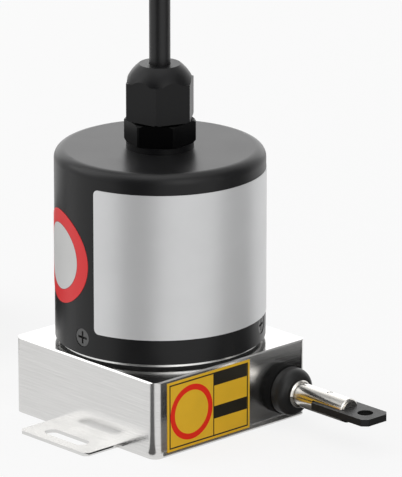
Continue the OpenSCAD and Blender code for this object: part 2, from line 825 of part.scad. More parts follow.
module code_disc() {
    color("lightcyan") translate([0, 0, disc_z]) difference() {
        cylinder(r = disc_r, h = disc_t);
        translate([0, 0, -1]) cylinder(r = shaft_r, h = disc_t + 2);
    }
}

// ---- Wire exit and wire end ----

module guide_bush() {
    wall_x = half - side_t;
    outline = [
        [wire_r + 0.3, wall_x + 1.2], [wire_r + 1.5, wall_x], [guide_r, wall_x], [guide_r, half],
        [guide_head_r, half], [guide_head_r, half + guide_head_t], [wire_r + 1, half + guide_head_t],
        [wire_r + 0.3, half + guide_head_t - 0.6]
    ];
    color("ivory") about_wire() rotate_extrude() polygon(outline);
}

// The rubber boot on the housing: a thin rear disc and a round-nosed body with a seat for the collar
module wire_boot() {
    disc_r = boot_d / 2;
    body_r2 = disc_r - 0.25;
    rim = 0.35;
    nose_x = half + boot_l;
    round_at = [body_r2 - boot_round, nose_x - boot_round];
    nose = [for (a = [0 : 10 : 90]) round_at + boot_round * [cos(a), sin(a)]];
    color("#1b1b1b") about_wire() rotate_extrude() polygon(concat(
        [
            [guide_head_r, half], [disc_r, half], [disc_r, half + boot_disc_t - 0.25],
            [body_r2 - rim, half + boot_disc_t], [body_r2 - rim, half + boot_disc_t + 0.15],
            [body_r2, half + boot_disc_t + rim + 0.15]
        ],
        nose,
        [
            [wire_r + 1.5, nose_x], [wire_r + 0.5, nose_x - 1.2],
            [wire_r + 0.5, half + guide_head_t], [guide_head_r, half + guide_head_t]
        ]
    ));
}

module measuring_wire() {
    color("#b9bec4") about_wire() cylinder(r = wire_r, h = ferrule_x + grip_l);
}

// The end tube: a collar with a rounded edge, a bore from the front and a slot for the eye plate
module end_tube() {
    r = tube_d / 2;
    edge = 0.35;
    outline = [
        [wire_r + slip, tube_x], [collar_d / 2 - edge, tube_x], [collar_d / 2, tube_x + edge],
        [collar_d / 2, tube_x + collar_t - edge], [collar_d / 2 - edge, tube_x + collar_t],
        [r, tube_x + collar_t], [r, tube_end - 0.3], [r - 0.3, tube_end],
        [tube_bore / 2, tube_end], [tube_bore / 2, ferrule_x], [wire_r + slip, ferrule_x]
    ];
    color("#d8d8d6") difference() {
        about_wire() rotate_extrude() polygon(outline);
        translate([mouth_x, wire_y - tube_d, wire_z - eye_t / 2 - fit])
            cube([mouth_l + 1, 2 * tube_d, eye_t + 2 * fit]);
        translate([pin_x, wire_y, wire_z - tube_d]) cylinder(r = pin_r, h = 2 * tube_d);
    }
}

// The ferrule on the wire's end, forked to hold the eye plate
module ferrule() {
    color("#2a2a2a") difference() {
        about_wire() translate([0, 0, ferrule_x])
            cylinder(r = tube_bore / 2 - fit, h = tube_end - ferrule_x + 0.3);
        about_wire() translate([0, 0, ferrule_x - 1]) cylinder(r = wire_r + fit / 2, h = grip_l + 1);
        translate([mouth_x, wire_y - tube_d, wire_z - eye_t / 2 - fit])
            cube([mouth_l + 2, 2 * tube_d, eye_t + 2 * fit]);
        translate([pin_x, wire_y, wire_z - tube_d]) cylinder(r = pin_r, h = 2 * tube_d);
    }
}

module cross_pin() {
    h = tube_d - 0.4;
    color("silver") translate([pin_x, wire_y, wire_z - h / 2]) cylinder(r = pin_r, h = h);
}

module eye_plate() {
    y = eye_w / 2;
    outline = [
        [eye_x, -y], [eye_end - eye_cut, -y], [eye_end, -y + eye_cut],
        [eye_end, y - eye_cut], [eye_end - eye_cut, y], [eye_x, y]
    ];
    color("#2c2c2c") translate([0, wire_y, wire_z - eye_t / 2]) difference() {
        linear_extrude(eye_t) polygon(outline);
        translate([eye_hole_x, 0, -1]) cylinder(d = eye_hole_d, h = eye_t + 2);
        translate([pin_x, 0, -1]) cylinder(r = pin_r, h = eye_t + 2);
    }
}

// ---- Labels ----

// What is cut off a label's corner to round it: its first and last cuts run on past the edges
module corner_cut(r, side, up) {
    step = 18;
    arc = [for (a = [90 : -step : 0]) r * [cos(a), sin(a)]];
    past = r * [2 - cos(step), -sin(step)];
    outside = [[r + 1, past[1]], [r + 1, r + 1], [past[1], r + 1], [past[1], past[0]]];
    scale([-up, side]) polygon(concat(outside, arc, [past]));
}

module type_label() {
    low = cover_z + type_label_up;
    high = low + type_label_h;
    r = cover_d / 2;
    corner = type_label_r;
    turn = type_label_angle / 2 - corner / r * 180 / PI;
    color("#c4c6c8") difference() {
        rotate([0, 0, -type_label_angle / 2]) rotate_extrude(angle = type_label_angle)
            translate([r, low]) square([label_t, type_label_h]);
        for (side = [-1, 1], up = [-1, 1])
            rotate([0, 0, side * turn])
                translate([r - 1, 0, up > 0 ? high - corner : low + corner])
                    rotate([0, 90, 0]) linear_extrude(label_t + 2) corner_cut(corner, side, up);
    }
}

module round_sticker() {
    centre = cover_z + sticker_up;
    color("#d23a34") intersection() {
        translate([0, 0, centre - sticker_d / 2 - 1]) difference() {
            cylinder(r = cover_d / 2 + label_t, h = sticker_d + 2);
            translate([0, 0, -1]) cylinder(r = cover_d / 2, h = sticker_d + 4);
        }
        rotate([0, 0, sticker_angle]) translate([cover_d / 4, 0, centre])
            rotate([0, 90, 0]) cylinder(d = sticker_d, h = cover_d / 2);
    }
}

module face_label() {
    color("#d8a92c") translate([half, -half + face_label_in, plate_t + 0.2])
        cube([label_t, face_label_l, face_label_h]);
}

base_plate();
housing();
base_screws();
gasket();
encoder_flange();
flange_screws();
encoder_cover();
cover_screws();
gland_washer();
gland_body();
gland_nut();
gland_locknut();
gland_seal();
cable_tail();
shaft_bearings();
bearing_spacer();
bearing_clip();
lower_posts();
main_board();
board_parts();
sensor_head();
lamp_holder();
upper_posts();
interface_board();
terminal_block();
board_screws();
spring_arbor();
mainspring();
guide_bush();
wire_boot();
type_label();
round_sticker();
face_label();
cable();
cable_coil();
cable_ties();
lead_wires();
wire_drum();
drum_screws();
wire_winding();
encoder_shaft();
disc_hub();
code_disc();
measuring_wire();
end_tube();
ferrule();
cross_pin();
eye_plate();
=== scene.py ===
"""Draw wire encoder: finishes, labels, cable, measuring wire and studio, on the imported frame."""

import math

import bmesh
import bpy
from mathutils import Matrix, Vector


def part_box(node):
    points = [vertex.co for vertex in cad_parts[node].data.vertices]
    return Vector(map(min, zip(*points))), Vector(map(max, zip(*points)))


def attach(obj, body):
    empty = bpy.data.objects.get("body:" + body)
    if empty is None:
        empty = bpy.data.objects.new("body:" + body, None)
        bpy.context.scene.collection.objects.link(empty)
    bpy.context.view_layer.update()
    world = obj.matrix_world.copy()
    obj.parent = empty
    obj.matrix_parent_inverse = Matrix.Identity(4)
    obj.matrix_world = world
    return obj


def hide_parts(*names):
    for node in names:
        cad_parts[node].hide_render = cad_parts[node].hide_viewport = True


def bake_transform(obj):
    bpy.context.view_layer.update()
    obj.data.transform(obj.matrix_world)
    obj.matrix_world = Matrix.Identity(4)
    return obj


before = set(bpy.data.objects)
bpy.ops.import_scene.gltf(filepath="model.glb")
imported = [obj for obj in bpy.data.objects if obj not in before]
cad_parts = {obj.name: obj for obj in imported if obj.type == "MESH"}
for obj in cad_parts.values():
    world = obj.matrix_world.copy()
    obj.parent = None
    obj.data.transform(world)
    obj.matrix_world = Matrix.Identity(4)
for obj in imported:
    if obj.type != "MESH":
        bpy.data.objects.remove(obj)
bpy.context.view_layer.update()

MM = 0.001


def add_object(name, data):
    """Puts a new object with that data in the scene."""
    made = bpy.data.objects.new(name, data)
    bpy.context.scene.collection.objects.link(made)
    return made


def way_to(azimuth, elevation=0):
    """A direction, from degrees: azimuth 0 is -Y, where the near tab points, and 90 is +X."""
    a, e = math.radians(azimuth), math.radians(elevation)
    return Vector((math.sin(a) * math.cos(e), -math.cos(a) * math.cos(e), math.sin(e)))


# ---- Camera ----

VIEW_AZIMUTH, VIEW_ELEVATION = 47.31, 17.43
VIEW_DISTANCE = 1.5       # metres, from the point on the axis at VIEW_HEIGHT
VIEW_HEIGHT = 50 * MM
AIM_RIGHT, AIM_UP = 11.56 * MM, 1.83 * MM    # where it looks, seen from that point
LENS, SENSOR = 399.2, 36  # millimetres


def make_camera():
    """A long lens that looks down at the housing's corner, aimed a little to the right of the axis."""
    back = way_to(VIEW_AZIMUTH, VIEW_ELEVATION)
    right = way_to(VIEW_AZIMUTH + 90)
    up = back.cross(right)
    middle = Vector((0, 0, VIEW_HEIGHT))
    aim = middle + right * AIM_RIGHT + up * AIM_UP
    data = bpy.data.cameras.new("camera")
    data.lens = LENS
    data.sensor_width = SENSOR
    data.clip_start, data.clip_end = 0.01, 50
    camera = add_object("camera", data)
    camera.location = middle + back * VIEW_DISTANCE
    camera.rotation_mode = "QUATERNION"
    camera.rotation_quaternion = (camera.location - aim).to_track_quat("Z", "Y")
    bpy.context.scene.camera = camera


# ---- Cable ----

CABLE_R = 3               # millimetres, like the other sizes of the cable
GLAND_TOP = 103.5
CABLE_LENGTH = 1.0        # metres
ROUTE = [
    (0, 0, GLAND_TOP), (0, 0, 116), (0, 0, 128),
    (-2.3, -1.4, 141.6), (-8.8, -5.6, 153.1), (-18.5, -11.7, 160.8), (-30, -19, 163.5),
    (-41.5, -26.3, 160.8), (-51.2, -32.4, 153.1), (-57.7, -36.6, 141.6),
    (-60, -38, 128), (-60, -38, 112), (-60, -38, 96), (-60, -38, 80), (-60, -38, 64),
    (-60, -38, 48), (-60, -38, 36), (-60, -38, 27),
    (-61.8, -38, 17.8), (-67, -38, 10), (-74.8, -38, 4.8), (-84, -38, 3.2),
    (-97, -38, 3.5), (-112, -38, 3.8),
]
COIL_X, COIL_Y = -112, -8
COIL_R = 30
COIL_START = 270          # degrees from +X, where the route meets the coil
COIL_STEPS = 16           # points in each turn
HANDLE_SHARE = 0.335      # of the way to the next point: this keeps a turn round


def coil_place(angle, wound, out=0.0, rise=0.0):
    """A point on the coil: angle is from +X, wound is how many degrees of coil lie behind it. Out and rise
    move it away from the coil's axis and up."""
    a = math.radians(angle)
    r = COIL_R + out
    climb = ROUTE[-1][2] + 2 * CABLE_R * wound / 360
    return (COIL_X + r * math.cos(a), COIL_Y + r * math.sin(a), climb + rise)


def cable_turns():
    """How many turns the coil takes to use up the cable's length."""
    route_length = sum(math.dist(a, b) for a, b in zip(ROUTE, ROUTE[1:])) * MM
    return (CABLE_LENGTH - route_length) / (2 * math.pi * COIL_R * MM)


def coil_points():
    """The wound part: it climbs one cable's width in each turn, clockwise from above."""
    step = 360 / COIL_STEPS
    count = round(cable_turns() * COIL_STEPS)
    return [coil_place(COIL_START - step * k, step * k) for k in range(1, count + 1)]


def smooth_curve(name, points, radius, straight=0):
    """A round tube along a smooth curve through the points, the first few of them in a straight line;
    all in millimetres."""
    data = bpy.data.curves.new(name, "CURVE")
    data.dimensions = "3D"
    data.bevel_depth = radius * MM
    data.bevel_resolution = 6
    data.use_fill_caps = True
    data.resolution_u = 8
    spline = data.splines.new("BEZIER")
    spline.bezier_points.add(len(points) - 1)
    places = [Vector(place) * MM for place in points]
    for k, (point, place) in enumerate(zip(spline.bezier_points, places)):
        before, after = places[max(k - 1, 0)], places[min(k + 1, len(places) - 1)]
        along = (places[1] - places[0] if k < straight else after - before).normalized()
        point.co = place
        point.handle_left_type = point.handle_right_type = "FREE"
        point.handle_left = place - along * (place - before).length * HANDLE_SHARE
        point.handle_right = place + along * (after - place).length * HANDLE_SHARE
    return add_object(name, data)


TIE_ANGLES = (70, 200)    # where the ties stand, in degrees from +X
TIE_T, TIE_W = 0.8, 3     # the strap's thickness and width
TIE_CORNER = 2.2          # the strap's outer corner radius
TIE_STEPS = 6             # facets in each corner
TIE_BLOCKS = (            # middle above the strap, size, rounding
    ((0.2, 0, 0.9), (4.4, 4.6, 1.9), 0.4),   # head
    ((3.2, 0, 1.3), (2.8, 2.5, 0.7), 0.2),   # cut end
)


def strap_edge(mesh, low, high, depth, across):
    """One edge of the strap: a loop round the turns from low to high, at a depth below the strap's outer
    face and a place across its width."""
    middle_x = CABLE_R + TIE_T - TIE_CORNER
    low_z, high_z = low - TIE_T + TIE_CORNER, high + TIE_T - TIE_CORNER
    r = TIE_CORNER - depth
    loop = []
    for x, z, start in (
        (middle_x, high_z, 0), (-middle_x, high_z, 90), (-middle_x, low_z, 180), (middle_x, low_z, 270),
    ):
        for k in range(TIE_STEPS + 1):
            a = math.radians(start + 90 * k / TIE_STEPS)
            loop.append(mesh.verts.new((x + r * math.cos(a), across, z + r * math.sin(a))))
    return loop


def make_tie(name, angle):
    """A nylon strap drawn round the coil, with its square head on top and the cut end beside it."""
    wound = (COIL_START - angle) % 360
    layers = math.floor(cable_turns() - wound / 360)
    low = coil_place(angle, wound, rise=-CABLE_R)[2]
    high = low + 2 * CABLE_R * (layers + 1)
    mesh = bmesh.new()
    outer_a, outer_b, inner_a, inner_b = [
        strap_edge(mesh, low, high, depth, across)
        for depth in (0, TIE_T) for across in (-TIE_W / 2, TIE_W / 2)
    ]
    count = len(outer_a)
    for k in range(count):
        n = (k + 1) % count
        mesh.faces.new((outer_a[k], outer_a[n], outer_b[n], outer_b[k]))
        mesh.faces.new((inner_a[k], inner_b[k], inner_b[n], inner_a[n]))
        mesh.faces.new((outer_a[k], inner_a[k], inner_a[n], outer_a[n]))
        mesh.faces.new((outer_b[k], outer_b[n], inner_b[n], inner_b[k]))
    for (x, y, above), size, rounding in TIE_BLOCKS:
        add_block(mesh, (x, y, high + TIE_T + above), size, rounding)
    turn = Matrix.Rotation(math.radians(angle), 4, "Z")
    place = Matrix.Translation((COIL_X * MM, COIL_Y * MM, 0))
    mesh.transform(place @ turn @ Matrix.Translation((COIL_R * MM, 0, 0)) @ Matrix.Scale(MM, 4))
    return finish_mesh(name, mesh, "tie nylon")


def add_block(mesh, middle, size, bevel):
    """A block with rounded edges, added to a mesh; all in millimetres."""
    made = bmesh.ops.create_cube(mesh, size=1)
    bmesh.ops.scale(mesh, vec=size, verts=made["verts"])
    bmesh.ops.translate(mesh, vec=middle, verts=made["verts"])
    edges = list({edge for vert in made["verts"] for edge in vert.link_edges})
    bmesh.ops.bevel(mesh, geom=edges, offset=bevel, segments=2, affect="EDGES", profile=0.5)


def finish_mesh(name, mesh, finish, smooth=False):
    """Turns a bmesh into an object with that material."""
    bmesh.ops.recalc_face_normals(mesh, faces=mesh.faces)
    data = bpy.data.meshes.new(name)
    mesh.to_mesh(data)
    mesh.free()
    if smooth:
        data.shade_smooth()
    data.materials.append(bpy.data.materials[finish])
    return add_object(name, data)


LEADS = (                 # name, finish, place beside the cable's axis in pitches
    ("lead_red", "red insulation", -1.5), ("lead_white", "white insulation", -0.5),
    ("lead_green", "green insulation", 0.5), ("lead_black", "black insulation", 1.5),
)
LEAD_R = 0.6
LEAD_PITCH = 1.3
LEAD_BUNCHED = 0.55       # share of the pitch where the leads leave the cable
LEAD_FREE_AT = 0.25       # share of its way after which a lead lies at full pitch
LEAD_SWEEP = 44           # degrees of coil that a lead covers
LEAD_STAGGER = 5          # how many more degrees each next lead covers
LEAD_STEPS = 12
TIP_R = 0.35
TIP_L = 5


def lead_points(k):
    """One lead: out of the cable's end, then down to lie on the turn below it."""
    wound = round(cable_turns() * COIL_STEPS) * 360 / COIL_STEPS
    sweep = LEAD_SWEEP + LEAD_STAGGER * k
    offset = LEAD_PITCH * k
    rest = math.sqrt((CABLE_R + LEAD_R) ** 2 - offset ** 2) - 2 * CABLE_R
    points = []
    for i in range(LEAD_STEPS + 1):
        on = i / LEAD_STEPS
        gather = min(1, on / LEAD_FREE_AT)
        ease = gather * gather * (3 - 2 * gather)
        behind = wound + sweep * on
        out = offset * (LEAD_BUNCHED + (1 - LEAD_BUNCHED) * ease)
        points.append(coil_place(COIL_START - behind, behind, out, rest * ease))
    return points


def make_leads():
    """The cable's four leads, each with a bare tinned tip."""
    made = []
    for name, finish, k in LEADS:
        points = lead_points(k)
        lead = smooth_curve(name, points, LEAD_R)
        lead.data.materials.append(bpy.data.materials[finish])
        end, before = Vector(points[-1]), Vector(points[-2])
        way = (end - before).normalized()
        tip = smooth_curve(name + "_tip", [end - way, end + way * TIP_L / 2, end + way * TIP_L], TIP_R)
        tip.data.materials.append(bpy.data.materials["tinned copper"])
        for piece in (lead, tip):
            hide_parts("lead_wires")
            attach(piece, "encoder_body")
            made.append(piece)
    return made


def make_cable():
    """The cable from the gland to the coil's end, with its ties and leads."""
    cable = smooth_curve("cable_run", ROUTE + coil_points(), CABLE_R, straight=3)
    cable.data.materials.append(bpy.data.materials["cable jacket"])
    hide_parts("cable", "cable_coil")
    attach(cable, "encoder_body")
    ties = [make_tie(f"tie_{k + 1}", angle) for k, angle in enumerate(TIE_ANGLES)]
    for tie in ties:
        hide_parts("cable_ties")
        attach(tie, "encoder_body")
    ties + make_leads()


# ---- Measuring wire ----

WIRE_RINGS, WIRE_SIDES = 72, 16


def make_wire():
    """The wire from the drum to the ferrule, as a straight tube."""
    low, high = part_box("measuring_wire")
    y, z = (low.y + high.y) / 2, (low.z + high.z) / 2
    radius = (high.z - low.z) / 2
    turns = [2 * math.pi * k / WIRE_SIDES for k in range(WIRE_SIDES)]
    mesh = bmesh.new()
    loops = []
    for i in range(WIRE_RINGS + 1):
        x = low.x + (high.x - low.x) * i / WIRE_RINGS
        loops.append([
            mesh.verts.new((x, y + radius * math.cos(turn), z + radius * math.sin(turn))) for turn in turns
        ])
    for a, b in zip(loops, loops[1:]):
        for k in range(WIRE_SIDES):
            n = (k + 1) % WIRE_SIDES
            mesh.faces.new((a[k], a[n], b[n], b[k]))
    mesh.faces.new(loops[0])
    mesh.faces.new(loops[-1])
    wire = finish_mesh("wire_run", mesh, "stranded wire", smooth=True)
    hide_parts("measuring_wire")
    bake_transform(wire)


# ---- Shader tools ----

def node(tree, kind, inputs=None, **settings):
    """Adds a shader node, sets its properties, and sets or links its inputs."""
    made = tree.nodes.new("ShaderNode" + kind)
    for name, value in settings.items():
        setattr(made, name, value)
    for key, value in (inputs or {}).items():
        if isinstance(value, bpy.types.NodeSocket):
            tree.links.new(value, made.inputs[key])
        else:
            made.inputs[key].default_value = value
    return made


def math_node(tree, operation, *values, clamp=False):
    """The result of a calculation with values or sockets."""
    made = node(tree, "Math", dict(enumerate(values)), operation=operation, use_clamp=clamp)
    return made.outputs[0]


def new_effect(name, inputs, outputs):
    """An empty node group with named sockets: (tree, its inputs, its output node)."""
    tree = bpy.data.node_groups.new(name, "ShaderNodeTree")
    for label, (kind, value) in inputs.items():
        socket = tree.interface.new_socket(label, in_out="INPUT", socket_type="NodeSocket" + kind)
        socket.default_value = value
    for label, kind in outputs.items():
        tree.interface.new_socket(label, in_out="OUTPUT", socket_type="NodeSocket" + kind)
    return tree, tree.nodes.new("NodeGroupInput").outputs, tree.nodes.new("NodeGroupOutput")


def effect(tree, name, **inputs):
    """Places an effect group in a material; an input may be a value or a socket."""
    made = tree.nodes.new("ShaderNodeGroup")
    made.node_tree = bpy.data.node_groups[name]
    for key, value in inputs.items():
        socket = made.inputs[key.replace("_", " ")]
        if isinstance(value, bpy.types.NodeSocket):
            tree.links.new(value, socket)
        else:
            socket.default_value = value
    return made.outputs


def place_mm(tree):
    """The point on the part, in millimetres."""
    place = node(tree, "TexCoord").outputs["Object"]
    return node(tree, "VectorMath", {0: place, "Scale": 1 / MM}, operation="SCALE").outputs[0]


def from_axis(tree, x, y):
    """How far two coordinates lie from zero together."""
    flat = node(tree, "CombineXYZ", {"X": x, "Y": y}).outputs[0]
    return node(tree, "VectorMath", {0: flat}, operation="LENGTH").outputs["Value"]


def split(tree, place):
    """The X, Y and Z of a point."""
    return node(tree, "SeparateXYZ", {0: place}).outputs


def blend_colours(tree, share, below, above):
    """From the colour below to the colour above, by a share that is a value or a socket."""
    below, above = [c if isinstance(c, bpy.types.NodeSocket) else (*c, 1) for c in (below, above)]
    return node(tree, "Mix", {"Factor": share, 6: below, 7: above}, data_type="RGBA").outputs[2]


# ---- Effects that several finishes share ----

def make_streaks():
    """Brushing marks: a noise stretched along the brushing, and slow uneven shine under it."""
    tree, given, out = new_effect(
        "streaks", {"Across": ("Vector", (0.05, 0.05, 3.0))}, {"Streak": "Float", "Shine": "Float"},
    )
    place = place_mm(tree)
    stretched = node(tree, "VectorMath", {0: place, 1: given["Across"]}, operation="MULTIPLY").outputs[0]
    noise = {"Scale": 1.0, "Detail": 5.0, "Roughness": 0.75}
    streak = node(tree, "TexNoise", {"Vector": stretched, **noise}).outputs["Fac"]
    shine = node(tree, "TexNoise", {"Vector": place, "Scale": 0.06, "Detail": 2.0}).outputs["Fac"]
    tree.links.new(streak, out.inputs["Streak"])
    tree.links.new(shine, out.inputs["Shine"])


def make_turning():
    """Turning marks: fine rings about the axis, as a lathe leaves them."""
    tree, given, out = new_effect(
        "turning marks", {"Pitch": ("Float", 0.25)}, {"Ring": "Float"},
    )
    apart = split(tree, place_mm(tree))
    out_by = math_node(tree, "DIVIDE", from_axis(tree, apart["X"], apart["Y"]), given["Pitch"])
    up_by = math_node(tree, "DIVIDE", apart["Z"], given["Pitch"])
    sample = node(tree, "CombineXYZ", {"X": out_by, "Z": up_by}).outputs[0]
    ring = node(tree, "TexNoise", {"Vector": sample, "Scale": 1.0, "Detail": 2.0}).outputs["Fac"]
    tree.links.new(ring, out.inputs["Ring"])


def make_grain():
    """A moulded or painted skin: fine grain, and faint handling marks."""
    tree, given, out = new_effect(
        "grain", {"Size": ("Float", 0.3)}, {"Grain": "Float", "Marks": "Float"},
    )
    place = place_mm(tree)
    scale = math_node(tree, "DIVIDE", 1.0, given["Size"])
    fine = node(tree, "TexNoise", {"Vector": place, "Scale": scale, "Detail": 3.0}).outputs["Fac"]
    slow = node(tree, "TexNoise", {"Vector": place, "Scale": 0.09, "Detail": 4.0}).outputs["Fac"]
    tree.links.new(fine, out.inputs["Grain"])
    tree.links.new(slow, out.inputs["Marks"])


INK_EDGE = 0.05           # millimetres over which an ink's edge fades


def make_print_box():
    """A printed rectangle: 1 inside the corners, 0 outside, with a soft ink edge."""
    tree, given, out = new_effect(
        "print box",
        {"U": ("Float", 0.0), "V": ("Float", 0.0), "Left": ("Float", 0.0), "Right": ("Float", 1.0),
         "Low": ("Float", 0.0), "High": ("Float", 1.0)},
        {"Ink": "Float"},
    )
    inks = []
    for a, b in (("U", "Left"), ("Right", "U"), ("V", "Low"), ("High", "V")):
        gap = math_node(tree, "SUBTRACT", given[a], given[b])
        inks.append(math_node(tree, "DIVIDE", gap, INK_EDGE, clamp=True))
    ink = inks[0]
    for more in inks[1:]:
        ink = math_node(tree, "MULTIPLY", ink, more)
    tree.links.new(ink, out.inputs["Ink"])


def make_print_ring():
    """A printed ring: 1 on the line, 0 elsewhere."""
    tree, given, out = new_effect(
        "print ring",
        {"U": ("Float", 0.0), "V": ("Float", 0.0), "Radius": ("Float", 5.0), "Line": ("Float", 1.0)},
        {"Ink": "Float"},
    )
    far = from_axis(tree, given["U"], given["V"])
    off = math_node(tree, "ABSOLUTE", math_node(tree, "SUBTRACT", far, given["Radius"]))
    half = math_node(tree, "MULTIPLY", given["Line"], 0.5)
    gap = math_node(tree, "SUBTRACT", half, off)
    tree.links.new(math_node(tree, "DIVIDE", gap, INK_EDGE, clamp=True), out.inputs["Ink"])


# ---- Materials ----

def new_finish(name, **sockets):
    """A material whose shader has these constant sockets: (tree, shader)."""
    made = bpy.data.materials.new(name)
    made.use_nodes = True
    tree = made.node_tree
    shader = tree.nodes["Principled BSDF"]
    for key, value in sockets.items():
        label = {"Base": "Base Color", "Coat": "Coat Weight", "Specular": "Specular IOR Level"}.get(
            key, key.replace("_", " "))
        if label == "Base Color":
            value = (*value, 1)
        shader.inputs[label].default_value = value
    return tree, shader


def spread(tree, value, low, high, start=0.3, end=0.7):
    """Maps a noise value, mostly between start and end, to low and high."""
    made = node(tree, "MapRange", {
        "Value": value, "From Min": start, "From Max": end, "To Min": low, "To Max": high,
    })
    return made.outputs["Result"]


def scaled(colour, by):
    """A colour made lighter or darker by a factor."""
    return [c * by for c in colour]


def tone(tree, shader, value, dark, light):
    """Base colour between a dark and a light tone, by a value over the surface."""
    tree.links.new(blend_colours(tree, value, dark, light), shader.inputs["Base Color"])


def mottled(tree, marks, colour, lift):
    """A colour that the marks make a little lighter here and there."""
    return blend_colours(tree, spread(tree, marks, 0, 1), colour, scaled(colour, lift))


def raise_by(tree, shader, value, distance):
    """A bump of that distance, in millimetres, by a value over the surface."""
    bump = node(tree, "Bump", {"Height": value, "Distance": distance * MM, "Strength": 1.0})
    tree.links.new(bump.outputs["Normal"], shader.inputs["Normal"])


def brushed(name, base, across, rough=(0.34, 0.5), depth=0.012, contrast=0.12, **sockets):
    """Brushed metal sheet or bar: across says how fast the marks change along X, Y and Z."""
    tree, shader = new_finish(name, Metallic=1.0, **sockets)
    marks = effect(tree, "streaks", Across=across)
    dark, light = scaled(base, 1 - contrast), scaled(base, 1 + contrast)
    tone(tree, shader, spread(tree, marks["Streak"], 0, 1), dark, light)
    fine = spread(tree, marks["Streak"], -0.04, 0.04)
    broad = spread(tree, marks["Shine"], *rough)
    tree.links.new(math_node(tree, "ADD", fine, broad), shader.inputs["Roughness"])
    raise_by(tree, shader, marks["Streak"], depth)


def turned(name, base, rough=(0.22, 0.34), pitch=0.25, depth=0.01, **sockets):
    """Metal from the lathe."""
    tree, shader = new_finish(name, Metallic=1.0, **sockets)
    ring = effect(tree, "turning marks", Pitch=pitch)["Ring"]
    tone(tree, shader, spread(tree, ring, 0, 1), scaled(base, 0.92), base)
    tree.links.new(spread(tree, ring, *rough), shader.inputs["Roughness"])
    raise_by(tree, shader, ring, depth)


def moulded(name, base, rough, size=0.3, depth=0.02, lift=1.25, **sockets):
    """Plastic, rubber or paint with a fine skin: rough is its (glossiest, dullest) roughness."""
    tree, shader = new_finish(name, **sockets)
    skin = effect(tree, "grain", Size=size)
    tree.links.new(mottled(tree, skin["Marks"], base, lift), shader.inputs["Base Color"])
    tree.links.new(spread(tree, skin["Marks"], *rough), shader.inputs["Roughness"])
    raise_by(tree, shader, skin["Grain"], depth)


WIRE_STRANDS = 7.0
WIRE_TWIST = 1.6          # radians in each millimetre


def make_stranded():
    """Fine stranded wire: the strands wind round it, with painted shade darkening the grooves between them.
    """
    tree, shader = new_finish("stranded wire", Metallic=1.0, Roughness=0.3)
    low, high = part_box("measuring_wire")
    middle = (0, -(low.y + high.y) / 2 / MM, -(low.z + high.z) / 2 / MM)
    place = node(tree, "VectorMath", {0: place_mm(tree), 1: middle}, operation="ADD").outputs[0]
    apart = split(tree, place)
    angle = math_node(tree, "ARCTAN2", apart["Z"], apart["Y"])
    twist = math_node(tree, "MULTIPLY", apart["X"], WIRE_TWIST)
    strands = math_node(tree, "MULTIPLY", math_node(tree, "ADD", angle, twist), WIRE_STRANDS)
    wave = math_node(tree, "MULTIPLY_ADD", math_node(tree, "SINE", strands), 0.5, 0.5)
    # Painted shade: the colour falls from 0.72 to 0.3 in the grooves between strands, where the bump is
    # lowest.
    tone(tree, shader, wave, (0.3, 0.3, 0.3), (0.72, 0.72, 0.71))
    raise_by(tree, shader, wave, 0.06)


def make_type_label():
    """Satin silver film, left bare."""
    tree, shader = new_finish("silver film", Metallic=0.4, Coat=0.1, Coat_Roughness=0.35)
    skin = effect(tree, "grain", Size=0.25)
    tone(tree, shader, spread(tree, skin["Marks"], 0, 1), (0.76, 0.765, 0.77), (0.79, 0.795, 0.8))
    tree.links.new(spread(tree, skin["Grain"], 0.36, 0.42), shader.inputs["Roughness"])
    raise_by(tree, shader, skin["Grain"], 0.002)


YELLOW = (0.92, 0.54, 0.022)
INK_DARK = (0.018, 0.015, 0.008)
INK_RED = (0.98, 0.022, 0.002)
FACE_MARGIN = 0.67        # from the plate's edge to its border line, in millimetres like the next ones
FACE_LINE = 0.42
FACE_SPLIT = 17.45        # from the plate's left edge to its dividing line
BAR_LEFT, BAR_RIGHT = 17.7, 30.5
BARS = ((15.65, 19.4), (5.85, 9.6))    # foot and top of each bar
RING_AT = (9.14, 10.08)   # its middle, from the plate's lower left corner
RING_R = 7.21
RING_LINE = 1.78


def make_face_label():
    """Yellow film with a border line, two plain dark bars and a plain red ring."""
    low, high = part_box("face_label")
    width, height = (high.y - low.y) / MM, (high.z - low.z) / MM
    tree, shader = new_finish("yellow film", Coat=0.08, Coat_Roughness=0.3, Roughness=0.5, Specular=0.25)
    corner = (0, -low.y / MM, -low.z / MM)
    place = node(tree, "VectorMath", {0: place_mm(tree), 1: corner}, operation="ADD").outputs[0]
    apart = split(tree, place)
    u, v = apart["Y"], apart["Z"]

    def box_ink(left, right, foot, top):
        return effect(tree, "print box", U=u, V=v, Left=left, Right=right, Low=foot, High=top)["Ink"]

    def frame_ink(margin):
        return box_ink(margin, width - margin, margin, height - margin)

    skin = effect(tree, "grain", Size=0.5)
    colour = mottled(tree, skin["Marks"], YELLOW, 1.12)
    outer, inner = frame_ink(FACE_MARGIN), frame_ink(FACE_MARGIN + FACE_LINE)
    border = math_node(tree, "SUBTRACT", outer, inner, clamp=True)
    divider = box_ink(FACE_SPLIT, FACE_SPLIT + FACE_LINE, FACE_MARGIN, height - FACE_MARGIN)
    for ink in (border, divider, *[box_ink(BAR_LEFT, BAR_RIGHT, *bar) for bar in BARS]):
        colour = blend_colours(tree, ink, colour, INK_DARK)
    beside, above = [math_node(tree, "SUBTRACT", axis, at) for axis, at in zip((u, v), RING_AT)]
    ring = effect(tree, "print ring", U=beside, V=above, Radius=RING_R, Line=RING_LINE)["Ink"]
    tree.links.new(blend_colours(tree, ring, colour, INK_RED), shader.inputs["Base Color"])
    raise_by(tree, shader, skin["Grain"], 0.003)


STICKER_ANGLE = math.radians(-111.8)    # where its middle lies, from +X
STICKER_RIM = 3.9         # millimetres, like the line
STICKER_LINE = 0.2
STICKER_RED = (0.9, 0.022, 0.026)
STICKER_LINE_RED = (0.4, 0.06, 0.06)
STICKER_PALE = (0.76, 0.76, 0.75)


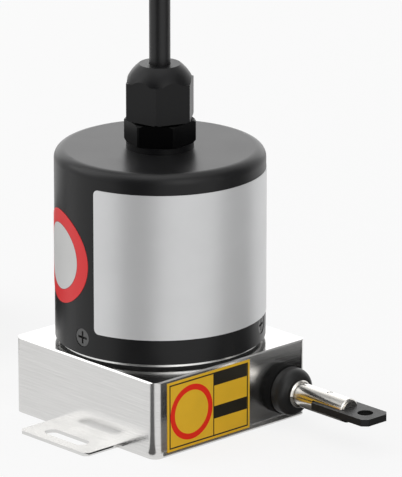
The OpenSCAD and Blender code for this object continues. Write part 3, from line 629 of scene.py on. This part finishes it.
def make_round_sticker():
    """A paper disc on the curved wall: a broad red rim, a dark line inside it, and a bare pale middle."""
    low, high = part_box("round_sticker")
    radius = (high.z - low.z) / MM / 2
    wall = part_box("encoder_cover")[1].x / MM
    tree, shader = new_finish("round sticker", Coat=0.2, Coat_Roughness=0.3, Roughness=0.5)
    turn = node(tree, "VectorRotate", {
        "Vector": place_mm(tree), "Angle": -STICKER_ANGLE,
    }, rotation_type="Z_AXIS").outputs[0]
    apart = split(tree, turn)
    around = math_node(tree, "MULTIPLY", math_node(tree, "ARCTAN2", apart["Y"], apart["X"]), wall)
    up = math_node(tree, "SUBTRACT", apart["Z"], (low.z + high.z) / 2 / MM)
    skin = effect(tree, "grain", Size=0.4)
    colour = mottled(tree, skin["Marks"], STICKER_PALE, 1.06)
    for ring_r, line, ink in (
        (radius, 2 * STICKER_RIM, STICKER_RED), (radius - STICKER_RIM, STICKER_LINE, STICKER_LINE_RED),
    ):
        ring = effect(tree, "print ring", U=around, V=up, Radius=ring_r, Line=line)["Ink"]
        colour = blend_colours(tree, ring, colour, ink)
    tree.links.new(colour, shader.inputs["Base Color"])
    raise_by(tree, shader, skin["Grain"], 0.004)


BOOT_FOOT_T = 2.1         # millimetres of the boot's length that its foot disc takes


def make_boot_rubber():
    """Satin rubber, with the foot disc painted blacker and matt: painted shade for the shadowed crevice
    where it meets the housing.
    """
    tree, shader = new_finish("boot rubber", Specular=0.3)
    foot_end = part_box("wire_boot")[0].x / MM + BOOT_FOOT_T
    unshaded_dome = math_node(tree, "GREATER_THAN", split(tree, place_mm(tree))["X"], foot_end)
    skin = effect(tree, "grain", Size=0.3)
    # Painted shade: the foot disc's near-black colour stands in for the shadow by the housing; the dome
    # keeps the rubber's own tone.
    tone(tree, shader, unshaded_dome, (0.001, 0.001, 0.001), (0.02, 0.02, 0.02))
    dull = spread(tree, skin["Marks"], 0.34, 0.42)
    rough = node(tree, "Mix", {"Factor": unshaded_dome, 2: 0.9, 3: dull}).outputs[0]
    tree.links.new(rough, shader.inputs["Roughness"])
    raise_by(tree, shader, skin["Grain"], 0.01)


DISC_CODE_R = 10.0        # millimetres, where the coded rings begin; each is 1 mm broad


def make_disc_glass():
    """The code disc: glass with rings of dark slots, twice as many in each ring as in the one inside it."""
    tree, shader = new_finish("code disc glass", Roughness=0.05, IOR=1.5, Transmission_Weight=0.6)
    apart = split(tree, place_mm(tree))
    angle = math_node(tree, "ARCTAN2", apart["Y"], apart["X"])
    radius = from_axis(tree, apart["X"], apart["Y"])
    ring = math_node(tree, "SUBTRACT", math_node(tree, "FLOOR", radius), DISC_CODE_R - 1)
    slots = math_node(tree, "POWER", 2.0, ring)
    wave = math_node(tree, "SINE", math_node(tree, "MULTIPLY", angle, slots))
    slot = math_node(tree, "GREATER_THAN", wave, 0.0)
    coded = math_node(tree, "MULTIPLY", slot, math_node(tree, "GREATER_THAN", radius, DISC_CODE_R))
    tone(tree, shader, coded, (0.8, 0.9, 0.92), (0.05, 0.06, 0.06))


def make_board():
    """Circuit board: green lacquer, with copper tracks showing faintly through it."""
    tree, shader = new_finish("circuit board", Coat=0.5, Coat_Roughness=0.15, Roughness=0.4)
    place = place_mm(tree)
    cells = node(tree, "TexVoronoi", {"Vector": place, "Scale": 0.6}, distance="MANHATTAN")
    track = spread(tree, cells.outputs["Distance"], 0, 1, start=0.45, end=0.5)
    tone(tree, shader, track, (0.02, 0.13, 0.05), (0.05, 0.26, 0.1))
    raise_by(tree, shader, track, 0.03)


def make_effects():
    """The node groups, before the materials that use them."""
    for build in (make_streaks, make_turning, make_grain, make_print_box, make_print_ring):
        build()


def make_materials():
    """Every finish of the object: metals, then plastics, rubbers and paints, then those with a pattern."""
    brushed(
        "brushed stainless", (0.68, 0.675, 0.665), across=(0.06, 0.06, 4.5), rough=(0.13, 0.22),
        contrast=0.09, Anisotropic=0.6,
    )
    brushed("zinc screws", (0.64, 0.64, 0.63), across=(2.0, 2.0, 0.6), rough=(0.25, 0.38))
    brushed("bearing steel", (0.6, 0.6, 0.6), across=(0.4, 0.4, 5.0), rough=(0.14, 0.24))
    brushed("blued spring steel", (0.3, 0.34, 0.42), across=(0.3, 0.3, 6.0), rough=(0.25, 0.35))
    brushed("bright nickel", (0.8, 0.775, 0.73), across=(0.2, 3.0, 3.0), rough=(0.12, 0.2), depth=0.003)
    turned("turned aluminium", (0.84, 0.84, 0.83))
    turned("drum aluminium", (0.78, 0.785, 0.8), pitch=0.4)
    turned("brass", (0.72, 0.52, 0.24), rough=(0.2, 0.35))
    moulded("gasket rubber", (0.012, 0.012, 0.012), (0.6, 0.75), depth=0.03, Specular=0.3)
    moulded("cover black", (0.009, 0.009, 0.0095), (0.32, 0.345), size=0.18, depth=0.006, Specular=0.27)
    moulded("blackened screws", (0.1, 0.1, 0.1), (0.35, 0.45), size=0.4, Metallic=0.5)
    moulded("gland nylon", (0.006, 0.006, 0.0065), (0.32, 0.4), size=0.2, depth=0.008, Specular=0.22)
    moulded("gland root nylon", (0.002, 0.002, 0.0022), (0.3, 0.4), size=0.2, depth=0.008, Specular=0.06)
    moulded("seal rubber", (0.006, 0.006, 0.006), (0.6, 0.8), Specular=0.2)
    moulded("cable jacket", (0.009, 0.009, 0.0095), (0.34, 0.44), size=0.25, depth=0.012, Specular=0.42)
    moulded("component black", (0.02, 0.02, 0.02), (0.4, 0.5))
    moulded("terminal green", (0.03, 0.2, 0.07), (0.4, 0.5))
    moulded("white acetal", (0.75, 0.74, 0.7), (0.3, 0.4), lift=1.06)
    moulded("tie nylon", (0.02, 0.02, 0.02), (0.35, 0.45), depth=0.01)
    moulded("blackened steel", (0.012, 0.012, 0.012), (0.35, 0.5), size=0.35, depth=0.015, Specular=0.28)
    moulded("red insulation", (0.5, 0.03, 0.02), (0.3, 0.4), depth=0.01)
    moulded("white insulation", (0.7, 0.7, 0.68), (0.3, 0.4), depth=0.01, lift=1.06)
    moulded("green insulation", (0.03, 0.3, 0.08), (0.3, 0.4), depth=0.01)
    moulded("black insulation", (0.02, 0.02, 0.02), (0.3, 0.4), depth=0.01)
    moulded("tinned copper", (0.75, 0.7, 0.65), (0.25, 0.35), Metallic=1.0)
    for build in (
        make_stranded, make_type_label, make_face_label, make_round_sticker, make_disc_glass, make_board,
        make_boot_rubber,
    ):
        build()


FINISHES = {
    "brushed stainless": ("base_plate", "housing"),
    "zinc screws": ("base_screws", "flange_screws", "board_screws", "drum_screws", "bearing_clip",
                    "cross_pin"),
    "gasket rubber": ("gasket",),
    "turned aluminium": ("encoder_flange", "disc_hub", "bearing_spacer"),
    "cover black": ("encoder_cover",),
    "blackened screws": ("cover_screws",),
    "gland nylon": ("gland_washer", "gland_nut", "gland_locknut"),
    "gland root nylon": ("gland_body",),
    "seal rubber": ("gland_seal",),
    "cable jacket": ("cable_tail",),
    "bearing steel": ("shaft_bearings", "encoder_shaft"),
    "brass": ("lower_posts", "upper_posts"),
    "circuit board": ("main_board", "interface_board"),
    "component black": ("board_parts", "sensor_head", "lamp_holder"),
    "terminal green": ("terminal_block",),
    "blued spring steel": ("mainspring", "spring_arbor"),
    "white acetal": ("guide_bush",),
    "boot rubber": ("wire_boot",),
    "silver film": ("type_label",),
    "round sticker": ("round_sticker",),
    "yellow film": ("face_label",),
    "drum aluminium": ("wire_drum",),
    "stranded wire": ("wire_winding",),
    "code disc glass": ("code_disc",),
    "bright nickel": ("end_tube", "ferrule"),
    "blackened steel": ("eye_plate",),
}


def dress_nodes():
    """Each CAD node gets its finish."""
    for finish, names in FINISHES.items():
        for name in names:
            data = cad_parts[name].data
            data.materials.clear()
            data.materials.append(bpy.data.materials[finish])


# ---- Light, floor and backdrop ----

LAMP_AIM = Vector((0, 0, 45 * MM))
LAMPS = (                 # name, azimuth, elevation, distance, width, height, power
    ("left lamp", -55, 40, 1.3, 1.1, 1.1, 5.0),
    ("right lamp", 73, 25, 1.4, 0.7, 1.1, 2.5),
    ("back lamp", 227, 20, 1.3, 1.8, 1.0, 4.2),
    ("top lamp", 0, 88, 1.3, 1.0, 1.0, 3.0),
)


def make_lamp(name, azimuth, elevation, distance, width, height, power):
    """A soft lamp, aimed at the encoder, in degrees, metres and watts."""
    data = bpy.data.lights.new(name, "AREA")
    data.shape = "RECTANGLE"
    data.size, data.size_y = width, height
    data.energy = power
    way = way_to(azimuth, elevation)
    made = add_object(name, data)
    made.location = LAMP_AIM + way * distance
    made.rotation_mode = "QUATERNION"
    made.rotation_quaternion = way.to_track_quat("Z", "Y")
    made.visible_camera = False


FLAG_LIFT = 0.4           # millimetres above the floor
RIGHT_SIDES = ((32, -25, 120), (32, 50, 160))
FLAGS = (                 # name, two sides as (x, y, azimuth), reach, height, shade
    ("edge flag", ((29.2, -26, 90), (29.2, 29, 90)), (0, 0.6), 1.1, 0.75),
    ("tab flag", ((14.2, -43, 132), (14.2, -31, 132)), (0, 1.3), 0, 0.02),
    ("near right flag", RIGHT_SIDES, (0, 25), 0, 0.3),
    ("right flag", RIGHT_SIDES, (25, 65), 0, 0.015),
    ("far right flag", RIGHT_SIDES, (65, 350), 450, 0.38),
    ("front flag", ((24, -32, -13), (33, -31, 34)), (0, 90), 0, 0.2),
    ("far front flag", ((16, -32, 2), (30, -31, 44)), (90, 530), 600, 0.16),
)


def make_flag(name, sides, reach, height, shade):
    """A dark card for the metal to mirror, in millimetres and degrees. A side starts at its point by the
    housing and goes out at its azimuth; the card lies on the floor between the two reaches, then stands
    up. Only reflections see it."""
    rows = [[Vector((x, y, FLAG_LIFT)) + way_to(azimuth) * out for x, y, azimuth in sides] for out in reach]
    if height:
        rows.append([place + Vector((0, 0, height)) for place in rows[-1]])
    mesh = bmesh.new()
    rows = [[mesh.verts.new(place * MM) for place in row] for row in rows]
    for low, high in zip(rows, rows[1:]):
        mesh.faces.new((low[0], low[1], high[1], high[0]))
    finish = name + " card"
    new_finish(finish, Base=(shade,) * 3, Roughness=1.0, Specular=0.0)
    card = finish_mesh(name, mesh, finish)
    for kind in ("camera", "diffuse", "transmission", "shadow", "volume_scatter"):
        setattr(card, "visible_" + kind, False)


def seen_or_mirrored(tree):
    """1 for rays from the camera and for those mirrored or passed through by the object."""
    path = node(tree, "LightPath").outputs
    both = math_node(tree, "MAXIMUM", path["Is Camera Ray"], path["Is Glossy Ray"])
    return math_node(tree, "MAXIMUM", both, path["Is Transmission Ray"])


FLOOR_HALF = 6            # metres
FLOOR_SHARE = 0.85        # how much of the white that is seen comes from the floor itself
FLOOR_TONE = (0.9, 0.9, 0.9, 1)


def make_floor():
    """A plain white floor that keeps the object's shadow."""
    mesh = bmesh.new()
    bmesh.ops.create_grid(mesh, x_segments=1, y_segments=1, size=FLOOR_HALF)
    made = bpy.data.materials.new("white floor")
    made.use_nodes = True
    tree = made.node_tree
    tree.nodes.clear()
    matt = node(tree, "BsdfDiffuse", {"Color": FLOOR_TONE}).outputs[0]
    glow = node(tree, "Emission", {"Strength": 1.0}).outputs[0]
    share = math_node(tree, "MULTIPLY", seen_or_mirrored(tree), FLOOR_SHARE)
    both = node(tree, "MixShader", {0: share, 1: matt, 2: glow}).outputs[0]
    tree.links.new(both, tree.nodes.new("ShaderNodeOutputMaterial").inputs["Surface"])
    floor = finish_mesh("floor", mesh, "white floor")


WORLD_LIGHT = 0.35        # what lights the object
WORLD_WHITE = 1.0         # what the camera and the reflections see
WHITE = (1, 1, 1, 1)


def make_world():
    """A white backdrop that lights the object less than it shows."""
    world = bpy.data.worlds.new("studio")
    bpy.context.scene.world = world
    world.use_nodes = True
    tree = world.node_tree
    tree.nodes.clear()
    light = node(tree, "Background", {"Color": WHITE, "Strength": WORLD_LIGHT}).outputs[0]
    white = node(tree, "Background", {"Color": WHITE, "Strength": WORLD_WHITE}).outputs[0]
    both = node(tree, "MixShader", {0: seen_or_mirrored(tree), 1: light, 2: white}).outputs[0]
    tree.links.new(both, tree.nodes.new("ShaderNodeOutputWorld").inputs["Surface"])


def make_studio():
    """Backdrop, floor, lamps and cards, with colours shown as they are."""
    make_world()
    make_floor()
    for values in LAMPS:
        make_lamp(*values)
    for values in FLAGS:
        make_flag(*values)
    bpy.context.scene.view_settings.view_transform = "Standard"


make_effects()
make_materials()
make_camera()
make_cable()
make_wire()
dress_nodes()
make_studio()
